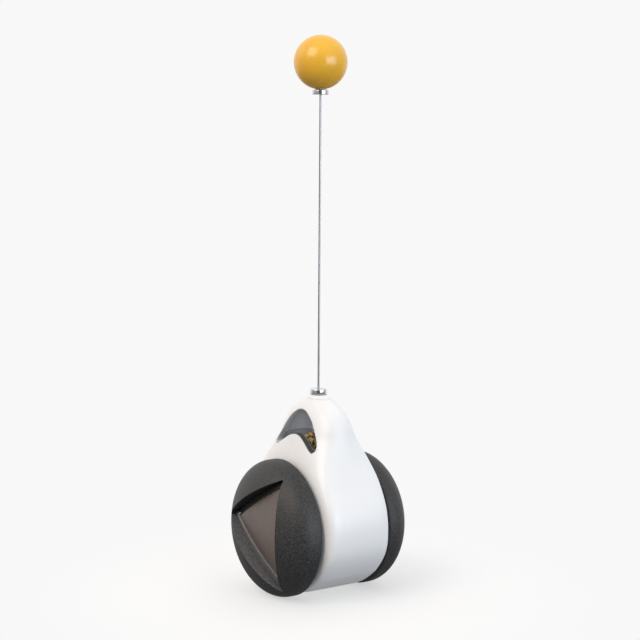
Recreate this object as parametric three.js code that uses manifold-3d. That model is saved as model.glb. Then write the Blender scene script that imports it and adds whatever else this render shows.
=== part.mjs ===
// Interactive cat toy car: a weighted teardrop body hangs between two domed wheels and carries
// a sprung wire with a ball at its tip. Millimetres, +Z up, the front towards -Y, the axle along X,
// origin on the floor below the middle of the axle.

import * as THREE from 'three';
import { mergeVertices } from 'three/addons/utils/BufferGeometryUtils.js';
import Module from 'manifold-3d';

const wasm = await Module();
wasm.setup();

// Fits and facets
const seatGap = 0.3;
const cutOverrun = 6;
const weldTolerance = 1e-4;
const wheelSides = 40;
const bodySides = 32;
const ballSides = 24;
const smallSides = 20;
const screwSides = 12;

// Body
const bodyHalfWidth = 20;
const bodyHalfDepth = 41;
const neckHeight = 68.6;
const neckRadius = 4.6;
const floorClearance = 2.2;
const shellWall = 2.2;
const neckBlockHeight = 6.3;

// Wheels
const wheelRadius = 36;
const wheelThickness = 22.7;
const treadWidth = 3.6;
const coverWall = 2;
const discThickness = 2.4;
const hubRadius = 6.5;
const hubLength = 9;

// Recess and insert in the wheel's face
const recessTopY = -16.7;
const recessHalfHeight = 30;
const recessPointY = 27;
const recessPointRise = 4;
const recessFrontBulge = 4.6;
const recessArmBulge = 0.9;
const recessCornerRadius = 2.4;
const recessSkirt = 1.6;
const facetHalfHeight = 32.8;
const facetCrown = 15.5;
const facetTiltDegrees = 5.7;
const grooveWidth = 3.8;
const grooveDepth = 1.4;
const facetFootRise = 5.5;
const insertThickness = 2.6;

// Axle, bushings and caps
const axleRadius = 2;
const bushingWall = 1.3;
const bushingLength = 8;
const flangeThickness = 0.7;
const flangeRadius = 5.6;
const bossWall = 2.5;
const washerThickness = 0.8;
const washerRadius = 5;
const capRadius = 4.2;
const capLength = 3.1;
const capGrip = 1.9;

// Catnip chamber and its windows
const linerWall = 1.4;
const chamberFloorThickness = 1.5;
const windowTopDrop = 6.8;
const windowHeight = 20.6;
const windowTipY = 18.6;
const linerSetBack = 0.8;
const chamberRoofDrop = 1.2;
const chamberSill = 1.9;
const partingRise = 5.2;
const trayHumpHalfWidth = 10;
const catnipRadius = 5;
const catnipSideGap = 1.3;
const catnipY = -2.5;

// Counterweight
const weightTop = -12;
const weightHalfDepth = 26;

// Screws that close the body from behind
const screwRadius = 1.3;
const screwLength = 20;
const screwHeadRadius = 2.6;
const screwHeadHeight = 2;
const screwSeatY = 11;
const screwBite = 9;
const screwBossWall = 1.8;
const upperScrewX = 10.5;
const upperScrewDrop = 15;
const lowerScrewX = 8.3;
const lowerScrewRise = 4.8;

// Wire, collars and ball
const wireRadius = 0.55;
const wireGrip = 5.4;
const socketRadius = 2.4;
const lowerCollarRadius = 4.45;
const lowerCollarHeight = 2.7;
const upperCollarRadius = 4.3;
const upperCollarHeight = 2.4;
const collarChamfer = 0.4;
const ballRadius = 13.9;
const ballHeight = 241.7;
const ballWall = 1.4;
const ballSocketRadius = 2.6;
const ballSocketLength = 15.5;
const ballSocketFloor = 1.2;

// Sizes that follow from the ones above
const bodyDrop = wheelRadius - floorClearance;
const wheelInnerFace = bodyHalfWidth + seatGap + flangeThickness + seatGap;
const boreRadius = axleRadius + seatGap;
const bushingRadius = boreRadius + bushingWall;
const bossBore = bushingRadius + seatGap;
const bossRadius = bossBore + bossWall;
const cavityTop = neckHeight - neckBlockHeight;
const windowTop = neckHeight - windowTopDrop;
const windowTip = windowTop - windowHeight;
const chamberFloor = windowTip - chamberSill;
const chamberParting = windowTip + partingRise;
const catnipHeight = chamberFloor + seatGap + catnipRadius;
const chamberRoof = windowTop - chamberRoofDrop;
const linerInset = shellWall + seatGap;
const wireBore = wireRadius + seatGap;
const collarSeat = neckHeight + seatGap;
const ballBottom = ballHeight - ballRadius;
const upperScrewHeight = windowTip - upperScrewDrop;
const lowerScrewHeight = weightTop + lowerScrewRise;
const screwPlaces = [
  { name: 'upper_left', x: -upperScrewX, z: upperScrewHeight },
  { name: 'upper_right', x: upperScrewX, z: upperScrewHeight },
  { name: 'lower_left', x: -lowerScrewX, z: lowerScrewHeight },
  { name: 'lower_right', x: lowerScrewX, z: lowerScrewHeight },
];

// Body shape: height as a share of the drop below or the rise above the axle, width and depth as shares
// of what the body adds to its neck, and the squareness of the section
const bodyShapeShares = [
  [-1, 0.94, 0.11, 7],
  [-0.96, 0.96, 0.27, 8],
  [-0.85, 0.98, 0.465, 9],
  [-0.64, 0.993, 0.725, 9],
  [-0.32, 1, 0.945, 9],
  [0, 1, 1, 9],
  [0.184, 1, 0.956, 8.5],
  [0.367, 0.993, 0.797, 7],
  [0.525, 0.896, 0.659, 4.2],
  [0.682, 0.69, 0.56, 2.6],
  [0.787, 0.545, 0.495, 2.3],
  [0.875, 0.41, 0.385, 2.1],
  [0.94, 0.24, 0.2, 2],
  [1, 0, 0, 2],
];
const bodyLevelShares = [
  -1, -0.965, -0.9, -0.8, -0.65, -0.46, -0.24, 0, 0.16, 0.3, 0.42, 0.53, 0.62,
  0.7, 0.77, 0.83, 0.88, 0.93, 0.965, 1,
];

// Window outline from its top down to the tip of one lobe and up to the hump between the lobes:
// distance from the middle as a share of the tip's, height as a share from the tips to the top
const windowShapeShares = [
  [0, 1], [0.14, 0.982], [0.25, 0.947], [0.415, 0.851], [0.585, 0.716], [0.715, 0.567], [0.855, 0.38],
  [0.962, 0.221], [1, 0.139], [1, 0.06], [0.92, 0], [0.79, 0.029], [0.613, 0.125], [0.414, 0.236],
  [0.215, 0.327], [0, 0.365],
];

// Materials
function material(colour, roughness, metalness) {
  return new THREE.MeshStandardMaterial({ color: colour, roughness, metalness });
}
const whiteGloss = material('#f1f2f2', 0.25, 0);
const chamberGrey = material('#83868c', 0.45, 0);
const wheelGrey = material('#46464a', 0.8, 0);
const insertGrey = material('#4d4644', 0.4, 0);
const innerGrey = material('#35353a', 0.6, 0);
const chrome = material('#c9cacc', 0.12, 1);
const steel = material('#9a9c9f', 0.3, 1);
const castIron = material('#5a5b5e', 0.6, 1);
const nylon = material('#e6e3da', 0.5, 0);
const yellowGloss = material('#e6a020', 0.2, 0);
const catnipBrown = material('#8a6a3a', 0.95, 0);

// Solid and geometry helpers
function facingOut(position, corners) {
  const a = new THREE.Vector3();
  const b = new THREE.Vector3();
  const c = new THREE.Vector3();
  let volume = 0;
  for (let i = 0; i < corners.length; i += 3) {
    a.fromArray(position, corners[i] * 3);
    b.fromArray(position, corners[i + 1] * 3);
    c.fromArray(position, corners[i + 2] * 3);
    volume += a.dot(b.cross(c));
  }
  return volume > 0;
}

function solid(geometry) {
  const bare = new THREE.BufferGeometry();
  bare.setAttribute('position', geometry.getAttribute('position').clone());
  if (geometry.getIndex()) bare.setIndex(geometry.getIndex().clone());
  const welded = mergeVertices(bare, weldTolerance);
  const position = welded.getAttribute('position').array;
  const index = welded.getIndex().array;
  const corners = [];
  for (let i = 0; i < index.length; i += 3) {
    const [p, q, r] = [index[i], index[i + 1], index[i + 2]];
    if (p !== q && q !== r && r !== p) corners.push(p, q, r);
  }
  if (!facingOut(position, corners)) corners.reverse();
  return new wasm.Manifold(new wasm.Mesh({
    numProp: 3,
    vertProperties: Float32Array.from(position),
    triVerts: Uint32Array.from(corners),
  }));
}

function geometryOf(body) {
  const mesh = body.getMesh();
  const geometry = new THREE.BufferGeometry();
  geometry.setAttribute('position', new THREE.BufferAttribute(Float32Array.from(mesh.vertProperties), 3));
  geometry.setIndex(new THREE.BufferAttribute(Uint32Array.from(mesh.triVerts), 1));
  geometry.computeVertexNormals();
  return geometry;
}

function addPiece(parent, name, body, look) {
  const mesh = new THREE.Mesh(geometryOf(body), look);
  mesh.name = name;
  parent.add(mesh);
}

// A profile of [radius, height] pairs turned about Z, with a facet square to each axis
function turned(profile, sides) {
  const points = profile.map(([radius, height]) => new THREE.Vector2(radius, height));
  const geometry = new THREE.LatheGeometry(points, sides);
  geometry.rotateX(Math.PI / 2);
  geometry.rotateZ(Math.PI / sides);
  return geometry;
}

function bar(radius, from, to, sides = smallSides) {
  return turned([[0, from], [radius, from], [radius, to], [0, to]], sides);
}

function tube(outer, inner, from, to, sides = smallSides) {
  return turned([[inner, from], [outer, from], [outer, to], [inner, to], [inner, from]], sides);
}

function box([x0, x1], [y0, y1], [z0, z1]) {
  const geometry = new THREE.BoxGeometry(x1 - x0, y1 - y0, z1 - z0);
  return geometry.translate((x0 + x1) / 2, (y0 + y1) / 2, (z0 + z1) / 2);
}

function alongX(geometry) {
  return geometry.rotateY(Math.PI / 2);
}

function alongY(geometry, x, z) {
  return geometry.rotateX(-Math.PI / 2).translate(x, 0, z);
}

// Smooth value at one height through columns of a table of shares
function shapeAt(heightShare, column) {
  const rows = bodyShapeShares;
  let i = 0;
  while (i < rows.length - 2 && heightShare > rows[i + 1][0]) i += 1;
  const slope = (k) => {
    const low = rows[Math.max(k - 1, 0)];
    const high = rows[Math.min(k + 1, rows.length - 1)];
    return (high[column] - low[column]) / (high[0] - low[0]);
  };
  const span = rows[i + 1][0] - rows[i][0];
  const t = (heightShare - rows[i][0]) / span;
  const t2 = t * t;
  const t3 = t2 * t;
  return (2 * t3 - 3 * t2 + 1) * rows[i][column] + (t3 - 2 * t2 + t) * span * slope(i)
    + (3 * t2 - 2 * t3) * rows[i + 1][column] + (t3 - t2) * span * slope(i + 1);
}

function roundedPower(value, squareness) {
  return Math.sign(value) * Math.abs(value) ** (2 / squareness);
}

// The body's outer surface, drawn in by an inset: rings of rounded rectangles from bottom to neck
function bodySkin(inset) {
  const positions = [];
  const corners = [];
  for (const share of bodyLevelShares) {
    const height = share < 0 ? share * (bodyDrop - inset) : share * neckHeight;
    const halfWidth = neckRadius + (bodyHalfWidth - neckRadius) * shapeAt(share, 1) - inset;
    const halfDepth = neckRadius + (bodyHalfDepth - neckRadius) * shapeAt(share, 2) - inset;
    const squareness = shapeAt(share, 3);
    for (let k = 0; k < bodySides; k += 1) {
      const angle = (2 * Math.PI * k) / bodySides;
      const x = halfWidth * roundedPower(Math.cos(angle), squareness);
      const y = halfDepth * roundedPower(Math.sin(angle), squareness);
      positions.push(x, y, height);
    }
  }
  const top = bodyLevelShares.length - 1;
  for (let j = 0; j < top; j += 1) {
    for (let k = 0; k < bodySides; k += 1) {
      const a = j * bodySides + k;
      const b = j * bodySides + ((k + 1) % bodySides);
      corners.push(a, b, b + bodySides, a, b + bodySides, a + bodySides);
    }
  }
  for (let k = 1; k < bodySides - 1; k += 1) {
    corners.push(0, k + 1, k);
    corners.push(top * bodySides, top * bodySides + k, top * bodySides + k + 1);
  }
  const geometry = new THREE.BufferGeometry();
  geometry.setAttribute('position', new THREE.BufferAttribute(new Float32Array(positions), 3));
  geometry.setIndex(corners);
  return geometry;
}

// The window's outline, seen from the side: an arch with two low lobes and a hump between them
function windowCutter(inset) {
  const low = windowTip + inset;
  const rise = windowTop - inset - low;
  const half = windowShapeShares.map(([ySide, zUp]) => [ySide * (windowTipY - inset), low + zUp * rise]);
  const mirrored = half.slice(1, -1).reverse().map(([y, z]) => [-y, z]);
  const shape = new THREE.Shape([...half, ...mirrored].map(([y, z]) => new THREE.Vector2(y, z)));
  const reach = bodyHalfWidth + cutOverrun;
  const geometry = new THREE.ExtrudeGeometry(shape, {
    depth: 2 * reach, bevelEnabled: false,
  });
  geometry.translate(0, 0, -reach);
  geometry.rotateX(Math.PI / 2).rotateZ(Math.PI / 2);
  return geometry;
}

function halfSpaceBox(ySide) {
  const reach = bodyHalfDepth + bodyHalfWidth;
  const near = seatGap / 2;
  const yRange = ySide < 0 ? [-reach, -near] : [near, reach];
  return box([-reach, reach], yRange, [-bodyDrop - cutOverrun, neckHeight + cutOverrun]);
}

// White body shells
function bodyShells(parent) {
  const outer = solid(bodySkin(0));
  const reach = bodyHalfDepth + cutOverrun;
  const cavityBox = solid(box([-reach, reach], [-reach, reach], [-bodyDrop, cavityTop]));
  const cavity = solid(bodySkin(shellWall)).intersect(cavityBox);
  let skin = outer.subtract(cavity);
  const bossFrom = wheelInnerFace - flangeThickness - bushingLength;
  for (const side of [-1, 1]) {
    const ends = [side * bossFrom, side * bodyHalfWidth].sort((a, b) => a - b);
    skin = skin.add(solid(alongX(bar(bossRadius, ends[0], ends[1]))).intersect(outer));
  }
  for (const { x, z } of screwPlaces) {
    const thin = screwRadius + seatGap + screwBossWall;
    const wide = screwHeadRadius + seatGap + screwBossWall;
    skin = skin.add(solid(alongY(bar(thin, -reach, screwSeatY, screwSides), x, z)).intersect(outer));
    const seatFrom = screwSeatY - screwBossWall;
    skin = skin.add(solid(alongY(bar(wide, seatFrom, reach, screwSides), x, z)).intersect(outer));
  }
  const throughAxle = [-bodyHalfWidth - cutOverrun, bodyHalfWidth + cutOverrun];
  skin = skin.subtract(solid(alongX(bar(bossBore, throughAxle[0], throughAxle[1]))));
  for (const { x, z } of screwPlaces) {
    const pilot = screwRadius + seatGap;
    const head = screwHeadRadius + seatGap;
    skin = skin.subtract(solid(alongY(bar(pilot, -screwBite - seatGap, reach, screwSides), x, z)));
    skin = skin.subtract(solid(alongY(bar(head, screwSeatY, reach, screwSides), x, z)));
  }
  const neckBore = bar(socketRadius + seatGap, cavityTop - cutOverrun, neckHeight + cutOverrun);
  skin = skin.subtract(solid(neckBore)).subtract(solid(windowCutter(0)));
  addPiece(parent, 'front_shell', skin.intersect(solid(halfSpaceBox(-1))), whiteGloss);
  addPiece(parent, 'rear_shell', skin.intersect(solid(halfSpaceBox(1))), whiteGloss);
}

// Grey chamber behind the windows: a hood above, and a tray with a hump below each window
function catnipChamber(parent) {
  const reach = bodyHalfDepth + cutOverrun;
  const slab = (from, to) => solid(box([-reach, reach], [-reach, reach], [from, to]));
  const top = cavityTop - seatGap;
  const bottom = chamberFloor - chamberFloorThickness;
  const lining = solid(bodySkin(linerInset)).intersect(slab(bottom, top));
  const hollow = solid(bodySkin(linerInset + linerWall)).intersect(slab(chamberFloor, chamberRoof));
  const opening = solid(windowCutter(-linerSetBack)).intersect(slab(bottom, chamberRoof));
  const liner = lining.subtract(hollow).subtract(opening);
  const humpSides = [-trayHumpHalfWidth, trayHumpHalfWidth];
  const humpShare = windowShapeShares.at(-1)[1];
  const humpTop = windowTip + humpShare * windowHeight + seatGap;
  const hump = solid(box([-reach, reach], humpSides, [bottom, humpTop]));
  const hood = liner.intersect(slab(chamberParting + seatGap / 2, top)).subtract(hump);
  const tray = liner.intersect(slab(bottom, chamberParting - seatGap / 2).add(hump));
  addPiece(parent, 'chamber_hood', hood, chamberGrey);
  addPiece(parent, 'chamber_tray', tray, chamberGrey);
  const skinThere = neckRadius + (bodyHalfWidth - neckRadius) * shapeAt(catnipHeight / neckHeight, 1);
  const catnipX = catnipRadius + catnipSideGap + linerInset + linerWall - skinThere;
  const ball = new THREE.IcosahedronGeometry(catnipRadius, 3);
  ball.translate(catnipX, catnipY, catnipHeight);
  addPiece(parent, 'catnip_ball', solid(ball), catnipBrown);
}

function counterweight(parent) {
  const reach = bodyHalfWidth + cutOverrun;
  const limits = box([-reach, reach], [-weightHalfDepth, weightHalfDepth], [-bodyDrop, weightTop]);
  addPiece(parent, 'counterweight', solid(bodySkin(linerInset)).intersect(solid(limits)), castIron);
}

function bodyScrews(parent) {
  const seat = screwSeatY + seatGap;
  const profile = [
    [0, seat - screwLength],
    [screwRadius, seat - screwLength],
    [screwRadius, seat],
    [screwHeadRadius, seat],
    [screwHeadRadius, seat + screwHeadHeight],
    [0, seat + screwHeadHeight],
  ];
  for (const { name, x, z } of screwPlaces) {
    addPiece(parent, `body_screw_${name}`, solid(alongY(turned(profile, screwSides), x, z)), steel);
  }
}

// Axle with a bushing, washer and push-on cap at each end
function axleGroup(parent) {
  const hubEnd = wheelInnerFace + hubLength;
  const washerFrom = hubEnd + seatGap;
  const capFrom = washerFrom + washerThickness + seatGap;
  const axleEnd = capFrom + capGrip;
  addPiece(parent, 'axle', solid(alongX(bar(axleRadius, -axleEnd, axleEnd))), steel);
  const flangeFrom = bodyHalfWidth + seatGap;
  const flangeTo = flangeFrom + flangeThickness;
  const bushing = [
    [boreRadius, flangeTo - bushingLength],
    [bushingRadius, flangeTo - bushingLength],
    [bushingRadius, flangeFrom],
    [flangeRadius, flangeFrom],
    [flangeRadius, flangeTo],
    [boreRadius, flangeTo],
    [boreRadius, flangeTo - bushingLength],
  ];
  const cap = [
    [boreRadius, capFrom],
    [capRadius, capFrom],
    [capRadius, capFrom + capLength - collarChamfer],
    [capRadius - collarChamfer, capFrom + capLength],
    [0, capFrom + capLength],
    [0, axleEnd + seatGap],
    [boreRadius, axleEnd + seatGap],
    [boreRadius, capFrom],
  ];
  for (const [name, turn] of [['left', Math.PI], ['right', 0]]) {
    const end = new THREE.Group();
    end.rotation.z = turn;
    parent.add(end);
    const washer = tube(washerRadius, boreRadius, washerFrom, washerFrom + washerThickness);
    addPiece(end, `${name}_bushing`, solid(alongX(turned(bushing, smallSides))), nylon);
    addPiece(end, `${name}_washer`, solid(alongX(washer)), steel);
    addPiece(end, `${name}_axle_cap`, solid(alongX(turned(cap, smallSides))), steel);
  }
}

// Wheel, drawn with its axis along Z, its inner face at zero and its outer face up. The wheel's
// radius is taken to the middle of a facet, so that a facet rests on the floor.
function domeProfile(inset, base) {
  const radius = (wheelRadius - inset) / Math.cos(Math.PI / wheelSides);
  const crown = wheelThickness - treadWidth - inset;
  const steps = 7;
  const profile = [[0, base], [radius, base]];
  for (let i = 0; i <= steps; i += 1) {
    const angle = (Math.PI / 2) * (i / steps);
    profile.push([radius * Math.cos(angle), treadWidth + crown * Math.sin(angle)]);
  }
  profile[profile.length - 1][0] = 0;
  return profile;
}

// Where the lines through two edges meet, each edge moved inwards by a distance
function movedCorner(before, corner, after, inBefore, inAfter) {
  const line = (from, to, inset) => {
    const along = to.clone().sub(from).normalize();
    const inward = new THREE.Vector2(-along.y, along.x);
    return { point: from.clone().addScaledVector(inward, inset), along };
  };
  const first = line(before, corner, inBefore);
  const second = line(corner, after, inAfter);
  const gap = second.point.clone().sub(first.point);
  const reach = gap.cross(second.along) / first.along.cross(second.along);
  return first.point.clone().addScaledVector(first.along, reach);
}

// Three-cornered outline of the recess: two gently bowed arms and a bulging front edge. The lower
// corner can stand higher, as the facet's does.
function recessOutline(armInset, frontInset, cornerRadius, footRise) {
  const top = new THREE.Vector2(recessHalfHeight, recessTopY);
  const point = new THREE.Vector2(recessPointRise, recessPointY);
  const bottom = new THREE.Vector2(footRise - recessHalfHeight, recessTopY);
  const a = movedCorner(bottom, top, point, frontInset, armInset);
  const b = movedCorner(top, point, bottom, armInset, armInset);
  const c = movedCorner(point, bottom, top, armInset, frontInset);
  const towards = (from, to, distance) => from.clone().lerp(to, distance / from.distanceTo(to));
  const shape = new THREE.Shape();
  const start = towards(a, b, cornerRadius);
  shape.moveTo(start.x, start.y);
  for (const [corner, next] of [[b, c], [c, a]]) {
    const previous = corner === b ? a : b;
    const enter = towards(corner, previous, cornerRadius);
    const leave = towards(corner, next, cornerRadius);
    const exit = towards(previous, corner, cornerRadius);
    const along = enter.clone().sub(exit).normalize();
    const bow = enter.clone().add(exit).multiplyScalar(0.5);
    bow.addScaledVector(new THREE.Vector2(along.y, -along.x), 2 * recessArmBulge);
    shape.quadraticCurveTo(bow.x, bow.y, enter.x, enter.y);
    shape.quadraticCurveTo(corner.x, corner.y, leave.x, leave.y);
  }
  const frontEnd = towards(a, c, cornerRadius);
  shape.quadraticCurveTo((a.x + c.x) / 2, a.y - 2 * recessFrontBulge, frontEnd.x, frontEnd.y);
  shape.quadraticCurveTo(a.x, a.y, start.x, start.y);
  return shape;
}

function prism(shape, from, to) {
  const geometry = new THREE.ExtrudeGeometry(shape, {
    depth: to - from, bevelEnabled: false, curveSegments: 4,
  });
  return solid(geometry.translate(0, 0, from));
}

// Everything under the insert's crowned face, which leans in towards the recess's point
function underFacet(drop) {
  const steps = 12;
  const edge = facetHalfHeight * Math.cos(Math.PI / (2 * steps));
  const shape = new THREE.Shape();
  shape.moveTo(edge, -cutOverrun);
  for (let i = 0; i <= steps; i += 1) {
    const x = edge - (2 * edge * i) / steps;
    shape.lineTo(x, treadWidth + facetCrown * Math.sqrt(1 - (x / facetHalfHeight) ** 2) - drop);
  }
  shape.lineTo(-edge, -cutOverrun);
  const reach = wheelRadius + cutOverrun;
  const geometry = new THREE.ExtrudeGeometry(shape, { depth: 2 * reach, bevelEnabled: false });
  geometry.rotateX(Math.PI / 2).translate(0, reach, 0);
  const hinge = recessTopY - recessFrontBulge;
  const hingeHeight = treadWidth + facetCrown;
  geometry.translate(0, -hinge, -hingeHeight);
  geometry.rotateX(-THREE.MathUtils.degToRad(facetTiltDegrees));
  geometry.translate(0, hinge, hingeHeight);
  return solid(geometry);
}

function wheelCover() {
  const outer = solid(turned(domeProfile(0, 0), wheelSides));
  const inner = solid(turned(domeProfile(coverWall, -cutOverrun), wheelSides));
  const above = wheelThickness + cutOverrun;
  const skirtFrom = discThickness + insertThickness + seatGap;
  const skirt = prism(recessOutline(-recessSkirt, -recessSkirt, recessCornerRadius, 0), skirtFrom, above);
  const opening = prism(recessOutline(0, 0, recessCornerRadius, 0), skirtFrom - cutOverrun, above);
  return outer.subtract(inner).add(skirt.intersect(outer)).subtract(opening);
}

function wheelInsert() {
  const above = wheelThickness + cutOverrun;
  const outline = prism(recessOutline(seatGap, seatGap, recessCornerRadius, 0), 0, above);
  const front = -recessFrontBulge;
  const raised = prism(recessOutline(grooveWidth, front, recessCornerRadius, facetFootRise), 0, above);
  const floor = outline.intersect(underFacet(grooveDepth));
  const facet = outline.intersect(raised).intersect(underFacet(0));
  return floor.add(facet).subtract(underFacet(insertThickness));
}

function wheelDisc() {
  const rim = wheelRadius - coverWall - seatGap;
  return solid(turned([
    [boreRadius, 0],
    [rim, 0],
    [rim, discThickness],
    [hubRadius, discThickness],
    [hubRadius, hubLength],
    [boreRadius, hubLength],
    [boreRadius, 0],
  ], wheelSides));
}

function wheel(parent, name, side) {
  const group = new THREE.Group();
  group.position.x = side * wheelInnerFace;
  group.rotation.y = (side * Math.PI) / 2;
  parent.add(group);
  addPiece(group, `${name}_wheel_cover`, wheelCover(), wheelGrey);
  addPiece(group, `${name}_wheel_insert`, wheelInsert(), insertGrey);
  addPiece(group, `${name}_wheel_disc`, wheelDisc(), innerGrey);
}

// Neck socket, wire, collars and ball
function collarRing(radius, from, height) {
  return solid(turned([
    [wireBore, from],
    [radius - collarChamfer, from],
    [radius, from + collarChamfer],
    [radius, from + height - collarChamfer],
    [radius - collarChamfer, from + height],
    [wireBore, from + height],
    [wireBore, from],
  ], smallSides));
}

function hollowBall() {
  const steps = 11;
  const mouth = ballSocketRadius + seatGap;
  const arc = (radius, fromTop) => {
    const points = [];
    const span = Math.PI - Math.asin(mouth / radius);
    for (let i = 0; i <= steps; i += 1) {
      const angle = (span * (fromTop ? i : steps - i)) / steps;
      points.push([radius * Math.sin(angle), ballHeight + radius * Math.cos(angle)]);
    }
    return points;
  };
  return solid(turned([...arc(ballRadius, true), ...arc(ballRadius - ballWall, false)], ballSides));
}

function wireAndBall(parent) {
  const socketTop = neckHeight - seatGap / 2;
  const wireFoot = socketTop - wireGrip;
  const socketEnd = ballBottom + ballSocketLength;
  const boreEnd = socketEnd - ballSocketFloor;
  const upperSeat = ballBottom - seatGap - upperCollarHeight;
  const socket = tube(socketRadius, wireBore, cavityTop + seatGap / 2, socketTop);
  addPiece(parent, 'wire_socket', solid(socket), steel);
  addPiece(parent, 'lower_collar', collarRing(lowerCollarRadius, collarSeat, lowerCollarHeight), chrome);
  addPiece(parent, 'wire', solid(bar(wireRadius, wireFoot, boreEnd - seatGap, screwSides)), steel);
  addPiece(parent, 'upper_collar', collarRing(upperCollarRadius, upperSeat, upperCollarHeight), chrome);
  addPiece(parent, 'ball', hollowBall(), yellowGloss);
  addPiece(parent, 'ball_socket', solid(turned([
    [wireBore, ballBottom],
    [ballSocketRadius, ballBottom],
    [ballSocketRadius, socketEnd],
    [0, socketEnd],
    [0, boreEnd],
    [wireBore, boreEnd],
    [wireBore, ballBottom],
  ], smallSides)), nylon);
}

// The whole toy, standing on its wheels
const toy = new THREE.Group();
toy.name = 'cat_toy_car';
const onAxle = new THREE.Group();
onAxle.position.z = wheelRadius;
toy.add(onAxle);
bodyShells(onAxle);
catnipChamber(onAxle);
counterweight(onAxle);
bodyScrews(onAxle);
axleGroup(onAxle);
wheel(onAxle, 'left', -1);
wheel(onAxle, 'right', 1);
wireAndBall(onAxle);

export default toy;
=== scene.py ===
# %% [markdown]
# # Interactive cat toy car
# A white teardrop body hangs between two domed wheels. A weight in its belly rights it, a window on each
# side shows a catnip ball, and a springy wire on its neck carries a golden ball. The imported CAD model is
# the frame: every new piece is made in metres, in the place where its CAD solid already is.

# %% Load the frame
import math

import bpy
from mathutils import Matrix, Vector


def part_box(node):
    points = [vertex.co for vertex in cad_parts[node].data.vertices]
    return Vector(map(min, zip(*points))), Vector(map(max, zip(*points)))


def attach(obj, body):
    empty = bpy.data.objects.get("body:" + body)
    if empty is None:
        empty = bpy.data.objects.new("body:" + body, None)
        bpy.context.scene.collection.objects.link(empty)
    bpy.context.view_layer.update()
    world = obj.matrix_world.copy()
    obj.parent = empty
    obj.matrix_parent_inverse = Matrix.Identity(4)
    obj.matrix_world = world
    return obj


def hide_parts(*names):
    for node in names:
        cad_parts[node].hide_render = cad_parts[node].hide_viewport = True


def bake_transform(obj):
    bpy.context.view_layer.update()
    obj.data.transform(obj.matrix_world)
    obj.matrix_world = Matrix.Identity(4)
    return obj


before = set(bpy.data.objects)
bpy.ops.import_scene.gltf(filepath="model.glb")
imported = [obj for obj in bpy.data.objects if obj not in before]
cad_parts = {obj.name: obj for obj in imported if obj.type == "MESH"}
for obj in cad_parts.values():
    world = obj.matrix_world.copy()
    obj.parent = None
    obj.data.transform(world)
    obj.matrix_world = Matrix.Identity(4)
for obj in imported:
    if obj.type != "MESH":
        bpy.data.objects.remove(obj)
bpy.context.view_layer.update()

# %% [markdown]
# The camera comes first, because it tells how large each detail shows. It looks from the front left and a
# little from above, through a long lens, so the toy shows hardly any perspective.

# %% Camera
MM = 0.001
SENSOR = 36
PHOTO_PIXELS = 640
FOCAL_PIXELS = 1410.4
CAMERA_SPOT = (-412.1, -610.8, 224.0)
AZIMUTH, ELEVATION, ROLL = -34.05, 6.19, 0.0069
camera_data = bpy.data.cameras.new("camera")
camera_data.sensor_width = SENSOR
camera_data.lens = FOCAL_PIXELS / PHOTO_PIXELS * SENSOR
camera = bpy.data.objects.new("camera", camera_data)
bpy.context.scene.collection.objects.link(camera)
turn = Matrix.Rotation(math.radians(AZIMUTH), 4, "Z") @ Matrix.Rotation(math.radians(90 - ELEVATION), 4, "X")
turn = turn @ Matrix.Rotation(ROLL, 4, "Z")
camera.matrix_world = Matrix.Translation(Vector(CAMERA_SPOT) * MM) @ turn
bpy.context.scene.camera = camera
print("lens in mm:", round(camera_data.lens, 1))

# %% [markdown]
# A few helpers are used all through. An operator acts on whatever is selected, so `select_only` clears the
# selection first. `apply_place` moves an object's place into its mesh, and `cut` lets one solid cut,
# join or trim another with a Boolean modifier and then removes the tool. `bevel_sharp` asks for more than it
# gets: a cut leaves very short edges, and the shortest of them holds back the whole bevel, so that it can't
# overlap. Faces that an earlier step left selected bring their own edges in too. What it makes here is
# under 0.05 mm wide, and those edges stay sharp to the eye.

# %% Helpers for making pieces
def select_only(piece):
    """Selects one object alone and makes it active."""
    bpy.ops.object.select_all(action="DESELECT")
    piece.select_set(True)
    bpy.context.view_layer.objects.active = piece


def add_primitive(operator, name, **sizes):
    """Adds and names a primitive while nothing else is selected."""
    bpy.ops.object.select_all(action="DESELECT")
    operator(**sizes)
    made = bpy.context.object
    made.name = name
    return made


def apply_place(piece):
    """Puts an object's place, turn and scale into its mesh."""
    select_only(piece)
    bpy.ops.object.transform_apply(location=True, rotation=True, scale=True)


def edit(piece, select="NONE"):
    """Opens a piece in edit mode with nothing, or all of it, selected."""
    select_only(piece)
    bpy.ops.object.mode_set(mode="EDIT")
    bpy.ops.mesh.select_all(action="DESELECT" if select == "NONE" else "SELECT")


def leave_edit():
    bpy.ops.object.mode_set(mode="OBJECT")


def extrude_up(height):
    """In edit mode, extrudes what is selected upwards, in millimetres."""
    bpy.ops.mesh.extrude_region_move(TRANSFORM_OT_translate={"value": (0, 0, height * MM)})


def face_outward(piece):
    """Turns all faces of a closed piece outwards."""
    edit(piece, "ALL")
    bpy.ops.mesh.normals_make_consistent(inside=False)
    leave_edit()


def cut(piece, tool, operation="DIFFERENCE", keep_tool=False):
    """Cuts, joins (UNION) or trims (INTERSECT) a piece with a tool."""
    modifier = piece.modifiers.new("cut", "BOOLEAN")
    modifier.operation = operation
    modifier.solver = "EXACT"
    modifier.object = tool
    select_only(piece)
    bpy.ops.object.modifier_apply(modifier=modifier.name)
    if not keep_tool:
        bpy.data.objects.remove(tool)


def copy_of(piece, name):
    """A copy with its own mesh."""
    twin = piece.copy()
    twin.data = piece.data.copy()
    twin.name = name
    bpy.context.scene.collection.objects.link(twin)
    return twin


def shade(piece, angle):
    """Smooths the shading up to an angle between faces, in degrees."""
    select_only(piece)
    bpy.ops.object.shade_smooth_by_angle(angle=math.radians(angle))


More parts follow.
